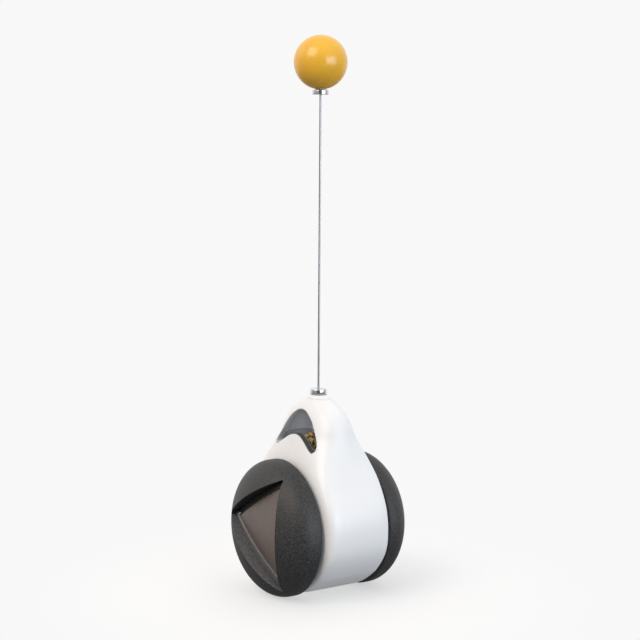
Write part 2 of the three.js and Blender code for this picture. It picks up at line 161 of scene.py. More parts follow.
def tidy_mesh(piece, angle):
    """Merges doubled points and smooths the shading."""
    edit(piece, "ALL")
    bpy.ops.mesh.remove_doubles(threshold=0.002 * MM)
    leave_edit()
    shade(piece, angle)


def open_with_points(piece, test):
    """Opens a piece in edit mode with just the points that pass a test selected."""
    edit(piece)
    leave_edit()
    for point in piece.data.vertices:
        point.select = test(point.co)
    bpy.ops.object.mode_set(mode="EDIT")
    bpy.ops.mesh.select_mode(type="VERT")


def bevel_sharp(piece, width, angle, test):
    """Bevels edges sharper than an angle, where their middle, in millimetres, passes a test."""
    edit(piece)
    bpy.ops.mesh.select_mode(type="EDGE")
    bpy.ops.mesh.edges_select_sharp(sharpness=math.radians(angle))
    leave_edit()
    points = piece.data.vertices
    for edge in piece.data.edges:
        middle = (points[edge.vertices[0]].co + points[edge.vertices[1]].co) / 2 / MM
        edge.select = edge.select and bool(test(middle))
    for point in points:
        point.select = False
    chosen = sum(edge.select for edge in piece.data.edges)
    bpy.ops.object.mode_set(mode="EDIT")
    bpy.ops.mesh.bevel(offset=width * MM, segments=3, affect="EDGES", clamp_overlap=True)
    leave_edit()
    return chosen


def bisect_all(piece, spot, normal, side):
    """Bisects a piece at a spot and keeps what lies on one side (-1 or 1) of the cut, filled."""
    edit(piece, "ALL")
    bpy.ops.mesh.bisect(
        plane_co=spot, plane_no=normal, use_fill=True, clear_inner=side > 0, clear_outer=side < 0
    )
    leave_edit()


print("helpers ready")

# %% [markdown]
# Colours are written as the sRGB hex values that a paint program shows, and one function turns them into
# the linear values that Blender works in. Every node is added by `add_node`, which sets its settings and
# fills its sockets with values or links.

# %% Helpers for finishes
def linear(hex_colour):
    """An sRGB hex colour as linear red, green, blue and alpha."""
    parts = [int(hex_colour[i:i + 2], 16) / 255 for i in (1, 3, 5)]
    return tuple(c / 12.92 if c <= 0.04045 else ((c + 0.055) / 1.055) ** 2.4 for c in parts) + (1.0,)


def add_node(tree, kind, settings=None, inputs=None):
    """Adds one node, with its settings and its sockets' values or links."""
    made = tree.nodes.new(kind)
    for name, value in (settings or {}).items():
        setattr(made, name, value)
    for name, value in (inputs or {}).items():
        if isinstance(value, bpy.types.NodeSocket):
            tree.links.new(value, made.inputs[name])
        else:
            made.inputs[name].default_value = value
    return made


def start_finish(name):
    """A new material's tree, its shader and the object coordinates."""
    material = bpy.data.materials.new(name)
    material.use_nodes = True
    tree = material.node_tree
    shader = tree.nodes["Principled BSDF"]
    place = add_node(tree, "ShaderNodeTexCoord").outputs["Object"]
    return material, tree, shader, place


print("white plastic in linear light:", [round(v, 3) for v in linear("#f2f4f5")])

# %% [markdown]
# ## The teardrop body
# The real body is two glossy ABS mouldings, screwed together from behind. Its section is a rounded
# rectangle at the axle, which grows rounder towards the neck. Such a form can be sculpted from a
# subdivided cube, but here it has to follow the CAD solid exactly. So a circle is extruded upwards ring
# by ring, and each ring's points are moved onto that height's section.

# %% Sizes of the body, in millimetres from the axle
AXLE = 36.0
DROP = 33.8
NECK = 68.6
NECK_RADIUS = 4.6
HALF_WIDTH = 20.0
HALF_DEPTH = 41.0
WALL = 2.2
SKIN_SIDES = 128
SKIN_STEPS = 5
RING_GAP = 0.05
shape_shares = [
    (-1, 0.94, 0.11, 7), (-0.96, 0.96, 0.27, 8), (-0.85, 0.98, 0.465, 9), (-0.64, 0.993, 0.725, 9),
    (-0.32, 1, 0.945, 9), (0, 1, 1, 9), (0.184, 1, 0.956, 8.5), (0.367, 0.993, 0.797, 7),
    (0.525, 0.896, 0.659, 4.2), (0.682, 0.69, 0.56, 2.6), (0.787, 0.545, 0.495, 2.3),
    (0.875, 0.41, 0.385, 2.1), (0.94, 0.24, 0.2, 2), (1, 0, 0, 2),
]
level_shares = [
    -1, -0.965, -0.9, -0.8, -0.65, -0.46, -0.24, 0, 0.16, 0.3, 0.42, 0.53, 0.62, 0.7, 0.77, 0.83,
    0.88, 0.93, 0.965, 1,
]


def shape_at(share, column):
    """The smooth value of a column of the table at a height."""
    rows = shape_shares
    i = max(k for k in range(len(rows) - 1) if k == 0 or share > rows[k][0])
    span = rows[i + 1][0] - rows[i][0]

    def slope(k):
        low, high = rows[max(k - 1, 0)], rows[min(k + 1, len(rows) - 1)]
        return (high[column] - low[column]) / (high[0] - low[0])

    t = (share - rows[i][0]) / span
    return (
        (2 * t**3 - 3 * t**2 + 1) * rows[i][column] + (t**3 - 2 * t**2 + t) * span * slope(i)
        + (3 * t**2 - 2 * t**3) * rows[i + 1][column] + (t**3 - t**2) * span * slope(i + 1)
    )


def section_at(height, inset):
    """Half width, half depth and squareness of the body at a height above the axle."""
    share = height / NECK if height > 0 else height / (DROP - inset)
    half_width = NECK_RADIUS + (HALF_WIDTH - NECK_RADIUS) * shape_at(share, 1) - inset
    half_depth = NECK_RADIUS + (HALF_DEPTH - NECK_RADIUS) * shape_at(share, 2) - inset
    return half_width, half_depth, shape_at(share, 3)


print("half width and depth at the axle:", [round(v, 1) for v in section_at(0, 0)])

# %% Extrude a skin ring by ring
def body_skin(name, inset, lowest, highest):
    """A closed solid of the body's shape, drawn in by an inset, between two heights."""
    shares = [
        a + (b - a) * k / SKIN_STEPS
        for a, b in zip(level_shares, level_shares[1:]) for k in range(SKIN_STEPS)
    ]
    heights = [s * (NECK if s > 0 else DROP - inset) for s in shares + [1]]
    heights = [h for h in heights if lowest + RING_GAP < h < highest - RING_GAP]
    heights = [lowest] + heights + [highest]
    skin = add_primitive(
        bpy.ops.mesh.primitive_circle_add, name,
        vertices=SKIN_SIDES, radius=HALF_WIDTH * MM, location=(0, 0, heights[0] * MM),
    )
    apply_place(skin)
    edit(skin, "ALL")
    for low, high in zip(heights, heights[1:]):
        extrude_up(high - low)
    leave_edit()
    for point in skin.data.vertices:
        half_width, half_depth, square = section_at(point.co.z / MM, inset)
        around = math.atan2(point.co.y, point.co.x)
        c, s = math.cos(around), math.sin(around)
        point.co.x = math.copysign(abs(c) ** (2 / square), c) * half_width * MM
        point.co.y = math.copysign(abs(s) ** (2 / square), s) * half_depth * MM
    for cap_height in (heights[0], heights[-1]):
        open_with_points(skin, lambda spot: abs(spot.z - cap_height * MM) < 1e-6)
        bpy.ops.mesh.edge_face_add()
        leave_edit()
    face_outward(skin)
    skin.location.z = AXLE * MM
    apply_place(skin)
    return skin


body = body_skin("body", 0, -DROP, NECK)
print("body skin:", len(body.data.polygons), "faces, size in mm", [round(d / MM, 1) for d in body.dimensions])

# %% [markdown]
# The shell's wall is hollowed by a second, smaller skin. The window is an arch with two low lobes and a
# hump between them. Its outline is a ring of points on a smooth curve, pushed right through the body, so
# both windows come from one cut. A boss carries each end of the axle, and four wells in the rear lead to the
# screws. A fine line runs round the neck just below its top.

# %% Hollow the body and cut the windows
window_shares = [
    (0, 1), (0.14, 0.982), (0.25, 0.947), (0.415, 0.851), (0.585, 0.716), (0.715, 0.567), (0.855, 0.38),
    (0.962, 0.221), (1, 0.139), (1, 0.06), (0.92, 0), (0.79, 0.029), (0.613, 0.125), (0.414, 0.236),
    (0.215, 0.327), (0, 0.365),
]
WINDOW_TOP = 61.8
WINDOW_TIP = 41.2
WINDOW_HALF = 18.6
CAVITY_TOP = 62.3
THROUGH = 26.0
BEHIND = 46
ROD_SIDES = 32
BOSS, BOSS_START, BOSS_END = 6.3, 13, 19.9
WELL, WELL_FLOOR = 4.7, 9.4
SCREW_SEAT, HEAD_SEAT = 2.9, 11.0
AXLE_BORE = 3.75
NECK_BORE, NECK_BORE_LOW, NECK_BORE_HIGH = 2.6, 58, 72
LINE_DEPTH = 0.4


def smooth_ring(points, steps):
    """Points on a smooth closed curve through the given ones."""
    ring = []
    count = len(points)
    for i in range(count):
        a, b, c, d = (Vector(points[(i + k) % count]) for k in (-1, 0, 1, 2))
        for k in range(steps):
            t = k / steps
            bend, twist = 2 * a - 5 * b + 4 * c - d, 3 * b - 3 * c + d - a
            ring.append(0.5 * ((2 * b) + (c - a) * t + bend * t**2 + twist * t**3))
    return ring


def prism(name, outline, low, high):
    """A closed solid on an outline in X and Y, in millimetres, from one height to another."""
    solid = add_primitive(
        bpy.ops.mesh.primitive_circle_add, name,
        vertices=len(outline), radius=1, fill_type="NGON", location=(0, 0, 0),
    )
    for point, (x, y) in zip(solid.data.vertices, outline):
        point.co = (x * MM, y * MM, low * MM)
    edit(solid, "ALL")
    extrude_up(high - low)
    leave_edit()
    face_outward(solid)
    return solid


def lay_along_x(tool):
    """Turns a prism so that its outline lies in Y and Z and its length along X."""
    tool.matrix_world = Matrix(((0, 0, 1, 0), (1, 0, 0, 0), (0, 1, 0, 0), (0, 0, 0, 1)))
    apply_place(tool)


def window_tool(name, inset):
    """The window's outline, drawn in by an inset and pushed through the body along X."""
    rise = WINDOW_TOP - WINDOW_TIP
    half = [(y * WINDOW_HALF, WINDOW_TIP + z * rise + AXLE) for y, z in window_shares]
    ring = smooth_ring(half + [(-y, z) for y, z in reversed(half[1:-1])], 4)
    moved = []
    for before, spot, after in zip(ring[-1:] + ring[:-1], ring, ring[1:] + ring[:1]):
        along = (after - before).normalized()
        moved.append(tuple(spot + Vector((along.y, -along.x)) * inset))
    tool = prism(name, moved, -THROUGH, THROUGH)
    lay_along_x(tool)
    return tool


def rod_tool(name, radius, start, end):
    """A closed cylinder between two points, in millimetres."""
    a, b = Vector(start) * MM, Vector(end) * MM
    tool = add_primitive(
        bpy.ops.mesh.primitive_cylinder_add, name,
        vertices=ROD_SIDES, radius=radius * MM, depth=(b - a).length,
    )
    aim = (b - a).to_track_quat("Z", "Y").to_matrix().to_4x4()
    tool.matrix_world = Matrix.Translation((a + b) / 2) @ aim
    apply_place(tool)
    return tool


# The wells end inside the wall, because a well that ends on the skin itself leaves open edges.
mid_wall = body_skin("mid_wall", WALL / 2, -(DROP - WALL / 2), NECK - WALL)
cut(body, body_skin("cavity", WALL, -(DROP - WALL), CAVITY_TOP))
for side in (-1, 1):
    boss = rod_tool("axle_boss", BOSS, (side * BOSS_START, 0, AXLE), (side * BOSS_END, 0, AXLE))
    cut(body, boss, "UNION")
SCREWS = {
    "upper_left": (-10.5, 26.2), "upper_right": (10.5, 26.2),
    "lower_left": (-8.3, -7.2), "lower_right": (8.3, -7.2),
}
for name, (x, z) in SCREWS.items():
    well = rod_tool("well_" + name, WELL, (x, WELL_FLOOR, z + AXLE), (x, BEHIND, z + AXLE))
    cut(well, mid_wall, "INTERSECT", keep_tool=True)
    cut(body, well, "UNION")
for name, (x, z) in SCREWS.items():
    cut(body, rod_tool("seat_" + name, SCREW_SEAT, (x, HEAD_SEAT, z + AXLE), (x, BEHIND, z + AXLE)))
cut(body, rod_tool("axle_bore", AXLE_BORE, (-THROUGH, 0, AXLE), (THROUGH, 0, AXLE)))
cut(body, rod_tool("neck_bore", NECK_BORE, (0, 0, AXLE + NECK_BORE_LOW), (0, 0, AXLE + NECK_BORE_HIGH)))
cut(body, window_tool("window", 0))
neck_line = body_skin("neck_line", -LINE_DEPTH, NECK - 2.2, NECK - 1.6)
cut(neck_line, body_skin("neck_core", LINE_DEPTH, NECK - 2.7, NECK - 1.1))
edit(neck_line, "ALL")
bpy.ops.mesh.quads_convert_to_tris()
leave_edit()
cut(body, neck_line)
bpy.data.objects.remove(mid_wall)
print("hollow body with windows:", len(body.data.polygons), "faces")

# %% [markdown]
# The two mouldings meet in the plane of the axle, so a copy of the shell is bisected for each of them. A gap
# of 0.12 mm is asked for and isn't made: a row of points lies in that plane already, and it is nearer than
# the bisect's threshold of 0.1 mm, which takes it for the cut. So the halves touch. The window's lip is
# bevelled, but by less than 0.01 mm.

# %% Part the body and bevel the window's lip
PARTING = 0.12
LIP = 0.45


def half_of_body(name, side):
    """The front (-1) or rear (1) moulding."""
    half = copy_of(body, name)
    edit(half, "ALL")
    bpy.ops.mesh.remove_doubles(threshold=0.005 * MM)
    leave_edit()
    bisect_all(half, (0, side * PARTING / 2 * MM, 0), (0, 1, 0), side)
    return half


def on_lip(spot):
    """Whether a spot lies at the window's height, beside the middle and off the parting plane."""
    beside = abs(spot.x) > 3 and abs(abs(spot.y) - PARTING / 2) >= 0.01
    return beside and WINDOW_TIP + AXLE - 1 < spot.z < WINDOW_TOP + AXLE + 1


body_front = half_of_body("body_front", -1)
body_rear = half_of_body("body_rear", 1)
bpy.data.objects.remove(body)
for half in (body_front, body_rear):
    print(half.name, "edges bevelled:", bevel_sharp(half, LIP, 50, on_lip))
    shade(half, 28)

# %% [markdown]
# ## The catnip chamber
# Behind the windows sits a grey liner in two halves, a hood and a tray. Its solids already have the right
# shape, so copies of them are merged and shaded smooth, rather than modelled again.

# %% Smooth copies of the chamber and of the turned parts
def smooth_copy(node, name, angle=32, edge_round=0.0):
    """A merged, smoothly shaded copy that stands for a CAD node."""
    piece = copy_of(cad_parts[node], name)
    piece.parent = None
    for key in list(piece.keys()):
        del piece[key]
    apply_place(piece)
    tidy_mesh(piece, angle)
    if edge_round:
        rounding = piece.modifiers.new("edge round", "BEVEL")
        rounding.width = edge_round * MM
        rounding.segments = 2
        rounding.limit_method = "ANGLE"
        rounding.angle_limit = math.radians(50)
        rounding.harden_normals = True
        select_only(piece)
        bpy.ops.object.modifier_apply(modifier=rounding.name)
    return piece


chamber_hood = smooth_copy("chamber_hood", "chamber_liner_hood")
chamber_tray = smooth_copy("chamber_tray", "chamber_liner_tray")
print("chamber liner copied:", len(chamber_hood.data.polygons) + len(chamber_tray.data.polygons), "faces")

# %% [markdown]
# A grey rim of the liner reaches out through each window, nearly flush with the white shell, so hardly
# any of the white wall's thickness shows. The rim is two skins, a wide one behind the shell and a narrow
# one in the window, hollowed by a third and opened by the window's outline.

# %% The liner's rim in each window
RIM_GAP = 0.1
RIM_WIDTH = 0.4
RIM_SINK = 0.5
LINER_INSET = 2.5
FLANGE = 0.4
FLANGE_OUTSIDE = -1.2
RIM_START = 2


def window_rim(name, side):
    """The grey rim that lines the window on one side of the body."""
    low, high = WINDOW_TIP - 1.5, WINDOW_TOP + 0.2
    rim = body_skin(name, RIM_SINK, low, high)
    cut(rim, window_tool("rim_outside", RIM_GAP), "INTERSECT")
    flange = body_skin("flange", LINER_INSET - 0.03, low, high)
    cut(flange, window_tool("flange_outside", FLANGE_OUTSIDE), "INTERSECT")
    cut(rim, flange, "UNION")
    cut(rim, body_skin("rim_hollow", LINER_INSET + FLANGE, low - 1, high + 1))
    cut(rim, window_tool("rim_opening", RIM_WIDTH))
    bisect_all(rim, (side * RIM_START * MM, 0, 0), (1, 0, 0), side)
    tidy_mesh(rim, 32)
    return rim


hood_rims = [window_rim("left_window_rim", -1), window_rim("right_window_rim", 1)]
# The rims below the lobes are split off for the tray; later they take a dark grey, which is painted shade.
tray_rims = [copy_of(rim, rim.name + "_below") for rim in hood_rims]
lobes = [(-17.2, 38), (17.2, 38), (17.2, 41), (16.4, 43.6), (13, 46.5), (7, 50), (0, 51.5)]
lobes += [(-y, z) for y, z in reversed(lobes[2:-1])]
for upper, lower in zip(hood_rims, tray_rims):
    for rim, operation in ((upper, "DIFFERENCE"), (lower, "INTERSECT")):
        below = prism("below", [(y, z + AXLE) for y, z in lobes], -THROUGH, THROUGH)
        lay_along_x(below)
        cut(rim, below, operation)
        tidy_mesh(rim, 32)
print("window rims:", [len(rim.data.polygons) for rim in hood_rims + tray_rims], "faces")

# %% [markdown]
# ## The catnip ball
# Pressed catnip is crumbly. An icosphere is pushed in and out by two procedural textures, a coarse one
# for its lumps and a fine one for its crumbs, and stays inside the 10 mm of its CAD solid.

# %% Catnip ball
CATNIP_RADIUS = 4.6
low_corner, high_corner = (Vector(corner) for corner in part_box("catnip_ball"))
catnip_centre = (low_corner + high_corner) / 2
catnip = add_primitive(
    bpy.ops.mesh.primitive_ico_sphere_add, "catnip_pressed_ball", subdivisions=6, radius=CATNIP_RADIUS * MM
)
for title, size, depth in (("lumps", 2.6, 0.7), ("crumbs", 0.7, 0.18)):
    texture = bpy.data.textures.new(title, "CLOUDS")
    texture.noise_scale = size * MM
    texture.noise_depth = 2
    push = catnip.modifiers.new(title, "DISPLACE")
    push.texture = texture
    push.strength = depth * MM
    push.mid_level = 0.5
    bpy.ops.object.modifier_apply(modifier=push.name)
catnip.location = catnip_centre
apply_place(catnip)
tidy_mesh(catnip, 60)
print("catnip ball:", [round(d / MM, 1) for d in catnip.dimensions], "mm")

# %% [markdown]
# ## Turned pieces
# Wheels, collars, wire and ball are all round about an axis. `turned` starts with a circle and extrudes it
# along a profile of radius and height, resizing each new ring. A closed profile ends on its first ring. An
# end ring narrower than POLE, in millimetres, is merged to a point, and a wider one is filled.

# %% A helper for turned pieces
POLE = 0.05


def turned(name, profile, sides, closed=False):
    """A round solid about Z from a list of (radius, height) in millimetres."""
    radius, height = profile[0]
    piece = add_primitive(
        bpy.ops.mesh.primitive_circle_add, name,
        vertices=sides, radius=radius * MM, location=(0, 0, height * MM),
    )
    apply_place(piece)
    edit(piece, "ALL")
    for (r0, z0), (r1, z1) in zip(profile, profile[1:]):
        extrude_up(z1 - z0)
        bpy.ops.transform.resize(value=(r1 / r0, r1 / r0, 1))
    leave_edit()
    for r, z in () if closed else (profile[0], profile[-1]):
        open_with_points(
            piece, lambda spot: abs(spot.z - z * MM) < 1e-6 and abs(spot.xy.length - r * MM) < 1e-6
        )
        if r < POLE:
            bpy.ops.mesh.merge(type="CENTER")
        else:
            bpy.ops.mesh.edge_face_add()
        leave_edit()
    edit(piece, "ALL")
    bpy.ops.mesh.remove_doubles(threshold=0.001 * MM)
    bpy.ops.mesh.normals_make_consistent(inside=False)
    leave_edit()
    return piece


def arc(radius, start, end, steps, height=0.0, stretch=1.0):
    """Profile points on an arc, with angles in degrees from level to straight up."""
    angles = [math.radians(start + (end - start) * k / steps) for k in range(steps + 1)]
    return [(max(radius * math.cos(a), 0.02), height + stretch * radius * math.sin(a)) for a in angles]


print("a quarter arc has", len(arc(36, 0, 90, 28)), "rings")

# %% [markdown]
# ## The wheels
# Each wheel is a dome of dark grey plastic, spark-textured in the mould so that paws get a grip. A
# three-cornered recess is sunk into it. The dome is a turned shell; prisms on the recess's outline give
# it the skirt round the recess, and then the opening itself.

# %% Sizes of the wheel and its recess
WHEEL = 36.0
TREAD = 3.6
CROWN = 19.1
INNER_FACE = 21.3
COVER_WALL = 2.0
SKIRT_WALL = 1.6
SKIRT_FLOOR = 5.3
WHEEL_SIDES = 160
WHEEL_EDGE = 0.45
ABOVE = 40
RECESS_TOP_Y, RECESS_HALF, POINT_Y, POINT_RISE, BULGE = -16.7, 30.0, 27.0, 4.0, 4.6
ARM_BULGE = 0.9
ARM_STEPS, CORNER_STEPS, FRONT_STEPS = 16, 6, 32


def moved_corner(before, corner, after, in_before, in_after):
    """Where two edges meet, once each has moved inwards."""
    def line(start, end, inset):
        along = (end - start).normalized()
        return start + Vector((-along.y, along.x)) * inset, along

    (p, u), (q, v) = line(before, corner, in_before), line(corner, after, in_after)
    gap = q - p
    return p + u * ((gap.x * v.y - gap.y * v.x) / (u.x * v.y - u.y * v.x))


def curve_through(start, pull, end, steps):
    """Points on a quadratic curve, without its last one."""
    spots = [k / steps for k in range(steps)]
    return [start * (1 - t) ** 2 + pull * 2 * t * (1 - t) + end * t**2 for t in spots]


def recess_outline(arm_inset, front_inset, corner=2.4, foot_rise=0.0, head_drop=0.0):
    """The recess's outline, with bowed arms and a bulging front edge, in millimetres."""
    top, point = Vector((RECESS_HALF - head_drop, RECESS_TOP_Y)), Vector((POINT_RISE, POINT_Y))
    bottom = Vector((foot_rise - RECESS_HALF, RECESS_TOP_Y))
    a = moved_corner(bottom, top, point, front_inset, arm_inset)
    b = moved_corner(top, point, bottom, arm_inset, arm_inset)
    c = moved_corner(point, bottom, top, arm_inset, front_inset)

    def towards(start, end):
        return start.lerp(end, corner / (end - start).length)

    def arm(start, end):
        along = (end - start).normalized()
        pull = (start + end) / 2 + Vector((along.y, -along.x)) * 2 * ARM_BULGE
        return curve_through(start, pull, end, ARM_STEPS)

    def corner_at(before, spot, after):
        return curve_through(towards(spot, before), spot, towards(spot, after), CORNER_STEPS)

    front = Vector(((a.x + c.x) / 2, a.y - 2 * BULGE))
    ring = arm(towards(a, b), towards(b, a)) + corner_at(a, b, c)
    ring += arm(towards(b, c), towards(c, b)) + corner_at(b, c, a)
    ring += curve_through(towards(c, a), front, towards(a, c), FRONT_STEPS) + corner_at(c, a, b)
    return [tuple(p) for p in ring]


print("recess outline has", len(recess_outline(0, 0)), "points")

# %% Dome, skirt and opening
def dome(name, inset, base):
    """The wheel's dome as a closed solid with its axis along Z."""
    radius = WHEEL - inset
    rim = [(radius - 0.5, base), (radius, base + 0.5)] if inset == 0 else [(radius, base)]
    return turned(name, rim + arc(radius, 0, 90, 30, TREAD, (CROWN - inset) / radius), WHEEL_SIDES)


cover = dome("left_wheel_dome", 0, 0)
hollow = dome("dome_hollow", COVER_WALL, -6)
cut(hollow, prism("skirt", recess_outline(-SKIRT_WALL, -SKIRT_WALL), SKIRT_FLOOR, ABOVE))
cut(cover, hollow)
cut(cover, prism("opening", recess_outline(0, 0), -1, ABOVE))
tidy_mesh(cover, 30)


def on_dome(spot):
    """Whether a spot lies on the dome's outside, away from the wheel's own edge."""
    height = TREAD + CROWN * math.sqrt(max(0, 1 - (spot.x**2 + spot.y**2) / WHEEL**2))
    return abs(spot.z - height) < 0.3 and spot.xy.length < 35


bevelled = bevel_sharp(cover, WHEEL_EDGE, 40, on_dome)
shade(cover, 32)
print("wheel dome:", len(cover.data.polygons), "faces,", bevelled, "edges bevelled")

# %% [markdown]
# A smooth plate lies in the recess. Its face is crowned from top to bottom and leans in towards the
# recess's point. A lower, grained channel runs along both arms. Beside the plate's lower edge a band
# stands in the channel, with a thin bead along its inner side, and a narrow gap parts the bead from the
# plate. The crowned face is a grid whose points are set to the curve, made into a block, and used to trim
# prisms.

# %% The plate in the recess
FACET_HALF = 32.8
FACET_CROWN = 15.5
LEAN = math.tan(math.radians(5.7))
GROOVE_WIDTH = 3.8
GROOVE_DEPTH = 1.4
FOOT_RISE = 8.5
HEAD_DROP = 1.2
PLATE_THICKNESS = 2.6
BAND_GAP = 0.95
BAND_DROP = 0.55
BEAD_WIDTH = 0.85
BEAD_RISE = 0.15
SEAM = 0.35
SUNK = 0.3
EDGE_GAP = 0.12
SLAB_CORNER = 1.2
LIMIT_RADIUS, LIMIT_HEIGHT, LIMIT_END = 40, 20, -60
BLOCK_HALF, BLOCK_DEPTH, BLOCK_STEPS = 32.6, 80, 72


def under_facet(name, drop):
    """A block whose top is the plate's crowned face, lowered by a drop."""
    block = add_primitive(
        bpy.ops.mesh.primitive_grid_add, name,
        x_subdivisions=BLOCK_STEPS, y_subdivisions=1, size=1, location=(0, 0, -6 * MM),
    )
    block.scale = (2 * BLOCK_HALF * MM, BLOCK_DEPTH * MM, 1)
    apply_place(block)
    edit(block, "ALL")
    extrude_up(10)
    bpy.ops.mesh.select_all(action="DESELECT")
    bpy.ops.mesh.select_non_manifold(extend=False, use_wire=False)
    bpy.ops.mesh.edge_face_add()
    leave_edit()
    for point in block.data.vertices:
        if point.co.z > 0:
            x, y = point.co.x / MM, point.co.y / MM
            face = TREAD + FACET_CROWN * math.sqrt(1 - (x / FACET_HALF) ** 2)
            face = face - LEAN * (y - RECESS_TOP_Y + BULGE)
            point.co.z = (face - drop) * MM
    face_outward(block)
    return block


def crowned(name, arm_inset, top_drop, back_drop, corners=(0, 0)):
    """A slab in the recess, between the crowned face lowered by one drop and by another."""
    slab = prism(name, recess_outline(arm_inset, -BULGE, SLAB_CORNER, *corners), 0, 30)
    cut(slab, prism("recess_limit", recess_outline(EDGE_GAP, EDGE_GAP), -1, 31), "INTERSECT")
    cut(slab, under_facet("face", top_drop), "INTERSECT")
    cut(slab, under_facet("back", back_drop))
    return slab


plate_corners = (FOOT_RISE, HEAD_DROP)
plate = crowned("left_wheel_plate", GROOVE_WIDTH, 0, PLATE_THICKNESS, plate_corners)
tidy_mesh(plate, 30)
channel = crowned("left_wheel_channel", -1, GROOVE_DEPTH, PLATE_THICKNESS)


def seat_tool(inset):
    """A prism through the recess that keeps clear of the arms by an inset."""
    return prism("seat", recess_outline(inset, -BULGE - 2, SLAB_CORNER, *plate_corners), -2, ABOVE)


def keep_lower_arm(piece, past):
    """Trims a piece to the arm below the recess's point, and a little past the point."""
    start, end = (POINT_RISE + past, 0, LIMIT_HEIGHT), (LIMIT_END, 0, LIMIT_HEIGHT)
    cut(piece, rod_tool("arm_limit", LIMIT_RADIUS, start, end), "INTERSECT")


cut(channel, seat_tool(GROOVE_WIDTH - SEAM))
deep_gap = seat_tool(GROOVE_WIDTH - BAND_GAP)
keep_lower_arm(deep_gap, 0.6)
cut(channel, deep_gap)
band = crowned("left_wheel_band", -1, BAND_DROP, GROOVE_DEPTH + SUNK)
cut(band, seat_tool(GROOVE_WIDTH - BAND_GAP - BEAD_WIDTH / 2))
keep_lower_arm(band, 1.2)
bead_inset = GROOVE_WIDTH - BAND_GAP - BEAD_WIDTH
bead = crowned("left_wheel_bead", bead_inset, -BEAD_RISE, GROOVE_DEPTH, plate_corners)
cut(bead, seat_tool(GROOVE_WIDTH - BAND_GAP))
keep_lower_arm(bead, 1.6)
for piece, width in ((channel, 0.2), (band, 0.2), (bead, 0.25)):
    tidy_mesh(piece, 30)
    print(piece.name, "edges bevelled:", bevel_sharp(piece, width, 45, lambda spot: spot.z > 8))
    shade(piece, 32)

# %% [markdown]
# The right wheel is the same moulding, turned half round. So each piece is copied with its own mesh and
# put on its side with a quarter turn about Y.

# %% Put the wheels on the axle
def on_axle(piece, side):
    """Turns a wheel piece's Z axis outwards and moves it to its place on the axle."""
    piece.matrix_world = Matrix.Translation(Vector((side * INNER_FACE, 0, AXLE)) * MM) @ Matrix.Rotation(
        side * math.pi / 2, 4, "Y"
    )
    apply_place(piece)


left_parts = [cover, plate, channel, band, bead]
right_parts = [copy_of(piece, piece.name.replace("left", "right")) for piece in left_parts]
for parts, side in ((left_parts, -1), (right_parts, 1)):
    for piece in parts:
        on_axle(piece, side)
for parts, side in ((left_parts, "left"), (right_parts, "right")):
    parts.append(smooth_copy(side + "_wheel_disc", side + "_wheel_back", 30, 0.4))
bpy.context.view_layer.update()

# %% [markdown]
# ## Collars, wire and ball
# The collars are turned and polished, then plated: a flat ring with softly rounded edges, which are in the
# turned profile itself. The wire is drawn spring steel. It is made in two lengths that meet where the two
# sprung hinges hand over, with a ring every 1.6 mm, so that it can bend smoothly.

# %% Collars
COLLAR_BORE = 0.85
COLLAR_SOFT = 0.35


def collar(name, radius, low, height):
    """A plated ring with small rounds and a countersunk bore."""
    r, soft, high = radius, COLLAR_SOFT, low + height
    spots = (0, 0.4, 0.8, 1.2, 1.57)
    lower = [(r - soft + soft * math.sin(a), low + soft - soft * math.cos(a)) for a in spots]
    upper = [(r - soft + soft * math.cos(a), high - soft + soft * math.sin(a)) for a in spots]
    mouth = [(1.5, high), (COLLAR_BORE, high - 0.3), (COLLAR_BORE, low)]
    profile = [(COLLAR_BORE, low)] + lower + upper + mouth
    ring = turned(name, [(a, b + AXLE) for a, b in profile], 96, closed=True)
    shade(ring, 35)
    return ring


BALL = 13.9
BALL_HEIGHT = 241.7
lower_collar = collar("lower_chrome_collar", 4.45, NECK + 0.3, 2.7)
upper_collar = collar("upper_chrome_collar", 4.3, BALL_HEIGHT - BALL - 0.3 - 2.4, 2.4)
print("collars:", [round(d / MM, 2) for d in lower_collar.dimensions])

# %% Wire in two lengths
FORE_END = 124.0
SIDE_END = 179.0
WIRE_FOOT = 63.05
WIRE_TIP = 241.8
WIRE_RADIUS = 0.55
WIRE_RING = 1.6


def wire_length(name, low, high):
    """A length of wire with a ring every 1.6 mm."""
    steps = math.ceil((high - low) / WIRE_RING)
    rings = [(WIRE_RADIUS, AXLE + low + (high - low) * k / steps) for k in range(steps + 1)]
    length = turned(name, rings, 24)
    shade(length, 40)
    return length


wire_foot = wire_length("wire_foot_length", WIRE_FOOT, FORE_END)
wire_tip = wire_length("wire_tip_length", FORE_END, WIRE_TIP)
print("wire lengths in mm:", round(wire_foot.dimensions.z / MM, 1), round(wire_tip.dimensions.z / MM, 1))

# %% [markdown]
# The ball is blown or moulded glossy plastic, hollow, with a small mouth below for its socket. A profile
# runs down the outside, in through the mouth and back up the inside.

# %% Ball
BALL_WALL = 1.4
MOUTH = 2.9
mouth_angles = [-math.degrees(math.acos(MOUTH / r)) for r in (BALL, BALL - BALL_WALL)]
outside = arc(BALL, 90, mouth_angles[0], 72, BALL_HEIGHT + AXLE)
inside = arc(BALL - BALL_WALL, mouth_angles[1], 90, 36, BALL_HEIGHT + AXLE)
ball = turned("golden_ball", outside + inside, 128)
shade(ball, 40)
print("ball:", [round(d / MM, 1) for d in ball.dimensions], "mm")

# %% [markdown]
# ## Screws
# Four screws hold the halves together. Each has a rounded cheese head with a cross recess for the driver,
# at the bottom of a well in the rear moulding. One is turned and cut, then copied.

# %% Body screws
PITCH = 0.42
THREAD_START, TURNS = -18.6, 22
THREAD_CORE, THREAD_CREST = 1.02, 1.28


